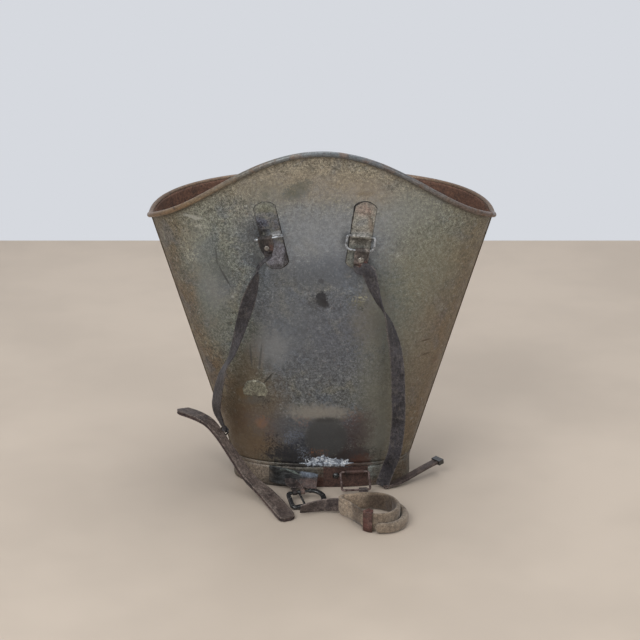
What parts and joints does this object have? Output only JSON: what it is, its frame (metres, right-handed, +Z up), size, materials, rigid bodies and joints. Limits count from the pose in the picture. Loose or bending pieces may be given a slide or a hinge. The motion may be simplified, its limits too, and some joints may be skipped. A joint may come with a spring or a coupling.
{
  "type": "grape hod",
  "caption": "Tall flared sheet-metal back basket with a swept crest, rolled rim and raised foot, carried on leather straps hung from wire rings, with buckles and a felt shoulder pad",
  "frame": {"origin": "on the floor under the middle of the foot", "axes": "+Z up, +X to the right as seen from the wearer's side, the wearer's side with the straps faces -Y"},
  "size_m": [0.5998, 0.5204, 0.6224],
  "materials": {
    "galvanised_sheet": "dull mottled galvanising, stained and rusted",
    "galvanised_rim": "dull galvanised bead, rusty in patches",
    "galvanised_chape": "dull galvanised strip",
    "ring_wire": "worn bright steel wire",
    "rusty_wire": "lightly rusted steel wire",
    "rusty_plate": "rusted steel plate",
    "black_metal": "glossy black japanned iron",
    "rivet_metal": "pale worn rivet",
    "black_leather": "dark oiled leather, dry and grey in places",
    "brown_leather": "weathered taupe harness leather",
    "red_leather": "red-brown leather",
    "pink_leather": "worn pale brown leather",
    "felt": "beige felt and leather facing"
  },
  "bodies": {
    "hod": {"back_sheet": "galvanised_sheet", "front_sheet": "galvanised_sheet", "left_seam": "galvanised_sheet", "right_seam": "galvanised_sheet", "rim_bead": "galvanised_rim", "rim_wire": "rusty_wire", "foot_seam": "galvanised_rim", "base_plate": "galvanised_sheet", "foot_band": "galvanised_sheet", "left_chape": "galvanised_chape", "right_chape": "galvanised_chape", "lower_chape": "rusty_plate", "lower_chape_rivet": "black_metal", "foot_tab": "black_leather", "billet": "pink_leather", "billet_fold": "pink_leather"},
    "left_ring": {"left_ring": "ring_wire"},
    "left_strap": {"left_strap_loop": "red_leather", "left_strap": "black_leather", "left_strap_fold": "black_leather", "left_strap_rivet": "rivet_metal"},
    "stout_strap": {"slide_loop": "black_metal", "stout_strap": "brown_leather", "stout_strap_lining": "brown_leather"},
    "right_ring": {"right_ring": "ring_wire"},
    "right_strap": {"right_strap_loop": "pink_leather", "right_strap": "black_leather", "right_strap_rivet": "rivet_metal", "rear_strap": "black_leather", "rear_strap_tip": "black_metal"},
    "lower_ring": {"lower_ring": "rusty_wire"},
    "pad": {"tie_loop": "black_leather", "tie_strap": "black_leather", "pad_band": "felt", "pad_low_layer": "felt", "pad_keeper": "red_leather", "pad_strap": "black_leather"},
    "floor_buckle": {"floor_buckle": "black_metal"},
    "floor_buckle_tongue": {"floor_buckle_tongue": "black_metal"}
  },
  "joints": [
    {"name": "left_ring_swing", "type": "hinge", "parent": "hod", "child": "left_ring", "pos_m": [-0.08441, -0.13359, 0.47453], "axis": [-0.9741, 0.1234, -0.1895], "range_deg": [0, 60]},
    {"name": "left_strap_swing", "type": "hinge", "parent": "left_ring", "child": "left_strap", "pos_m": [-0.0929, -0.15646, 0.47689], "axis": [-0.9741, 0.1234, -0.1895], "range_deg": [0, 60]},
    {"name": "stout_strap_swing", "type": "hinge", "parent": "left_strap", "child": "stout_strap", "pos_m": [-0.16836, -0.0679, 0.10373], "axis": [-0.5873, 0.4767, 0.6541], "range_deg": [0, 8]},
    {"name": "right_ring_swing", "type": "hinge", "parent": "hod", "child": "right_ring", "pos_m": [0.06529, -0.13527, 0.47453], "axis": [-0.9865, -0.0883, 0.1382], "range_deg": [0, 90]},
    {"name": "right_strap_swing", "type": "hinge", "parent": "right_ring", "child": "right_strap", "pos_m": [0.06203, -0.13607, 0.45077], "axis": [-0.9865, -0.0883, 0.1382], "range_deg": [-90, 0]},
    {"name": "lower_ring_swing", "type": "hinge", "parent": "hod", "child": "lower_ring", "pos_m": [0.05743, -0.08467, 0.03], "axis": [-0.9943, -0.1069, 0], "range_deg": [0, 30]},
    {"name": "pad_swing", "type": "hinge", "parent": "lower_ring", "child": "pad", "pos_m": [0.07239, -0.11159, 0.00784], "axis": [-0.9943, -0.1069, 0], "range_deg": [0, 25]},
    {"name": "floor_buckle_swing", "type": "hinge", "parent": "hod", "child": "floor_buckle", "pos_m": [-0.04002, -0.13556, 0.01389], "axis": [-0.9613, -0.2756, 0], "range_deg": [0, 75]},
    {"name": "floor_tongue_lift", "type": "hinge", "parent": "floor_buckle", "child": "floor_buckle_tongue", "pos_m": [-0.04002, -0.13556, 0.01389], "axis": [-0.9613, -0.2756, 0], "range_deg": [0, 45]}
  ],
  "couplings": [
    {"joint": "right_strap_swing", "follows": "right_ring_swing", "ratio": -1}
  ]
}
